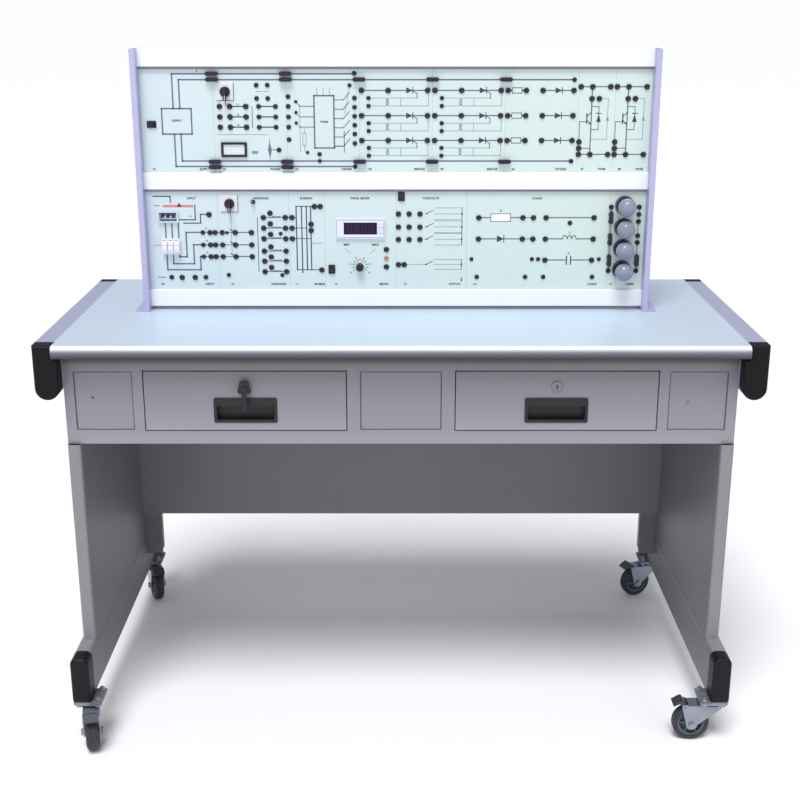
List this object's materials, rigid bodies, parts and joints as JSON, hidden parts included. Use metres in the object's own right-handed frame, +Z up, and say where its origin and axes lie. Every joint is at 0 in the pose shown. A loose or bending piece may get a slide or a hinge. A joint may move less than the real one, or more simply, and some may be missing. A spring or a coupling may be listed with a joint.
{
  "type": "power electronics trainer",
  "caption": "Training desk on braked swivel castors with drawers, carrying a two-row rack of power electronics modules with switches, meters and lamps.",
  "frame": {"origin": "on the floor, under the middle of the whole object's box", "axes": "+Z up, +X to the user's right along the desk, +Y away from the user towards the back"},
  "size_m": [1.5, 0.8424, 1.45],
  "materials": {
    "laminate": "satin",
    "rail_metal": "satin",
    "cap_black": "satin",
    "frame_paint": "satin",
    "foot_cap": "satin",
    "apron_paint": "satin",
    "zinc": "satin",
    "pull_black": "matte",
    "lock_metal": "polished",
    "key_black": "satin",
    "key_steel": "satin",
    "castor_steel": "satin",
    "castor_tyre": "matte",
    "pedal_paint": "satin",
    "rack_metal": "satin",
    "rack_white": "satin",
    "panel_white": "satin",
    "case_grey": "matte",
    "bezel_white": "satin",
    "window_dark": "gloss",
    "fuse_white": "satin",
    "switch_black": "satin",
    "lever_metal": "polished",
    "holder_black": "satin",
    "lamp_glass": "gloss"
  },
  "bodies": {
    "trainer": {"desktop": "laminate", "side_rail_left": "rail_metal", "side_rail_right": "rail_metal", "rail_end_caps": "cap_black", "side_frame_left": "frame_paint", "side_frame_right": "frame_paint", "foot_end_caps": "foot_cap", "apron_frame": "apron_paint", "drawer_housing": "zinc", "modesty_panel": "frame_paint", "drawer_runner_channels": "zinc", "castor_top_plates": "castor_steel", "rack_upright_left": "rack_metal", "rack_upright_right": "rack_metal", "rack_rails": "rack_white", "module_plates": "panel_white", "module_cases": "case_grey", "meter_bezels": "bezel_white", "meter_windows": "window_dark", "fuse_block": "fuse_white", "breaker_body": "bezel_white", "bridging_plugs": "switch_black", "switch_frames": "switch_black", "selector_plates": "bezel_white", "lamp_holders": "holder_black", "lamp_bulbs": "lamp_glass", "cable_gland": "switch_black"},
    "drawer_left": {"drawer_box_left": "zinc", "drawer_front_left": "apron_paint", "drawer_pull_left": "pull_black", "lock_case_left": "lock_metal"},
    "lock_left": {"lock_plug_left": "lock_metal", "drawer_key": "key_black"},
    "drawer_right": {"drawer_box_right": "zinc", "drawer_front_right": "apron_paint", "drawer_pull_right": "pull_black", "lock_case_right": "lock_metal"},
    "lock_right": {"lock_plug_right": "lock_metal"},
    "spare_key": {"spare_key": "key_steel"},
    "castor_front_left": {"castor_fork_front_left": "castor_steel"},
    "wheel_front_left": {"castor_wheel_front_left": "castor_tyre"},
    "pedal_front_left": {"castor_pedal_front_left": "pedal_paint"},
    "castor_front_right": {"castor_fork_front_right": "castor_steel"},
    "wheel_front_right": {"castor_wheel_front_right": "castor_tyre"},
    "pedal_front_right": {"castor_pedal_front_right": "pedal_paint"},
    "castor_rear_left": {"castor_fork_rear_left": "castor_steel"},
    "wheel_rear_left": {"castor_wheel_rear_left": "castor_tyre"},
    "pedal_rear_left": {"castor_pedal_rear_left": "pedal_paint"},
    "castor_rear_right": {"castor_fork_rear_right": "castor_steel"},
    "wheel_rear_right": {"castor_wheel_rear_right": "castor_tyre"},
    "pedal_rear_right": {"castor_pedal_rear_right": "pedal_paint"},
    "selector_upper": {"selector_knob_upper": "switch_black"},
    "selector_lower": {"selector_knob_lower": "switch_black"},
    "potentiometer": {"potentiometer_knob": "switch_black"},
    "rocker_upper": {"rocker_upper": "switch_black"},
    "rocker_lower_a": {"rocker_lower_a": "switch_black"},
    "rocker_lower_b": {"rocker_lower_b": "switch_black"},
    "breaker": {"breaker_handle": "switch_black"},
    "toggle": {"toggle_lever": "lever_metal"}
  },
  "joints": [
    {"name": "drawer_slide_left", "type": "slide", "parent": "trainer", "child": "drawer_left", "axis": [0, -1, 0], "range_m": [0, 0.36]},
    {"name": "lock_turn_left", "type": "hinge", "parent": "drawer_left", "child": "lock_left", "pos_m": [-0.324, -0.26284, 0.783], "axis": [0, -1, 0], "range_deg": [0, 90]},
    {"name": "drawer_slide_right", "type": "slide", "parent": "trainer", "child": "drawer_right", "axis": [0, -1, 0], "range_m": [0, 0.36]},
    {"name": "lock_turn_right", "type": "hinge", "parent": "drawer_right", "child": "lock_right", "pos_m": [0.324, -0.26284, 0.783], "axis": [0, -1, 0], "range_deg": [0, 90]},
    {"name": "spare_key_swing", "type": "hinge", "parent": "lock_left", "child": "spare_key", "pos_m": [-0.324, -0.26284, 0.783], "axis": [0, -1, 0], "range_deg": [-90, 0]},
    {"name": "swivel_front_left", "type": "hinge", "parent": "trainer", "child": "castor_front_left", "pos_m": [-0.676, -0.33584, 0.09], "axis": [0, 0, 1], "continuous": true},
    {"name": "roll_front_left", "type": "hinge", "parent": "castor_front_left", "child": "wheel_front_left", "pos_m": [-0.66727, -0.37692, 0.04], "axis": [-0.9781, -0.2079, 0], "continuous": true},
    {"name": "brake_front_left", "type": "hinge", "parent": "castor_front_left", "child": "pedal_front_left", "pos_m": [-0.66394, -0.39257, 0.0825], "axis": [0.9781, 0.2079, 0], "range_deg": [0, 10]},
    {"name": "swivel_front_right", "type": "hinge", "parent": "trainer", "child": "castor_front_right", "pos_m": [0.676, -0.33584, 0.09], "axis": [0, 0, 1], "continuous": true},
    {"name": "roll_front_right", "type": "hinge", "parent": "castor_front_right", "child": "wheel_front_right", "pos_m": [0.634, -0.33584, 0.04], "axis": [0, 1, 0], "continuous": true},
    {"name": "brake_front_right", "type": "hinge", "parent": "castor_front_right", "child": "pedal_front_right", "pos_m": [0.618, -0.33584, 0.0825], "axis": [0, -1, 0], "range_deg": [0, 10]},
    {"name": "swivel_rear_left", "type": "hinge", "parent": "trainer", "child": "castor_rear_left", "pos_m": [-0.676, 0.39016, 0.09], "axis": [0, 0, 1], "continuous": true},
    {"name": "roll_rear_left", "type": "hinge", "parent": "castor_rear_left", "child": "wheel_rear_left", "pos_m": [-0.66027, 0.35122, 0.04], "axis": [-0.9272, -0.3746, 0], "continuous": true},
    {"name": "brake_rear_left", "type": "hinge", "parent": "castor_rear_left", "child": "pedal_rear_left", "pos_m": [-0.65427, 0.33639, 0.0825], "axis": [0.9272, 0.3746, 0], "range_deg": [0, 10]},
    {"name": "swivel_rear_right", "type": "hinge", "parent": "trainer", "child": "castor_rear_right", "pos_m": [0.676, 0.39016, 0.09], "axis": [0, 0, 1], "continuous": true},
    {"name": "roll_rear_right", "type": "hinge", "parent": "castor_rear_right", "child": "wheel_rear_right", "pos_m": [0.63706, 0.37443, 0.04], "axis": [-0.3746, 0.9272, 0], "continuous": true},
    {"name": "brake_rear_right", "type": "hinge", "parent": "castor_rear_right", "child": "pedal_rear_right", "pos_m": [0.62222, 0.36844, 0.0825], "axis": [0.3746, -0.9272, 0], "range_deg": [0, 10]},
    {"name": "selector_upper_turn", "type": "hinge", "parent": "trainer", "child": "selector_upper", "pos_m": [-0.379, 0.02516, 1.36], "axis": [0, 1, 0], "range_deg": [-135, 135]},
    {"name": "selector_lower_turn", "type": "hinge", "parent": "trainer", "child": "selector_lower", "pos_m": [-0.379, 0.02516, 1.119], "axis": [0, 1, 0], "range_deg": [-135, 135]},
    {"name": "potentiometer_turn", "type": "hinge", "parent": "trainer", "child": "potentiometer", "pos_m": [-0.092, 0.02516, 0.977], "axis": [0, 1, 0], "range_deg": [-150, 150]},
    {"name": "rocker_upper_turn", "type": "hinge", "parent": "trainer", "child": "rocker_upper", "pos_m": [-0.541, 0.02516, 1.291], "axis": [0, 0, 1], "range_deg": [0, 16]},
    {"name": "rocker_lower_a_turn", "type": "hinge", "parent": "trainer", "child": "rocker_lower_a", "pos_m": [-0.155, 0.02516, 0.972], "axis": [1, 0, 0], "range_deg": [0, 16]},
    {"name": "rocker_lower_b_turn", "type": "hinge", "parent": "trainer", "child": "rocker_lower_b", "pos_m": [0.001, 0.02516, 1.135], "axis": [1, 0, 0], "range_deg": [0, 16]},
    {"name": "breaker_turn", "type": "hinge", "parent": "trainer", "child": "breaker", "pos_m": [-0.516, 0.02816, 1.09], "axis": [1, 0, 0], "range_deg": [0, 40]},
    {"name": "toggle_turn", "type": "hinge", "parent": "trainer", "child": "toggle", "pos_m": [-0.327, 0.02216, 1.123], "axis": [1, 0, 0], "range_deg": [0, 24]}
  ],
  "couplings": [
    {"joint": "spare_key_swing", "follows": "lock_turn_left", "ratio": -1}
  ]
}
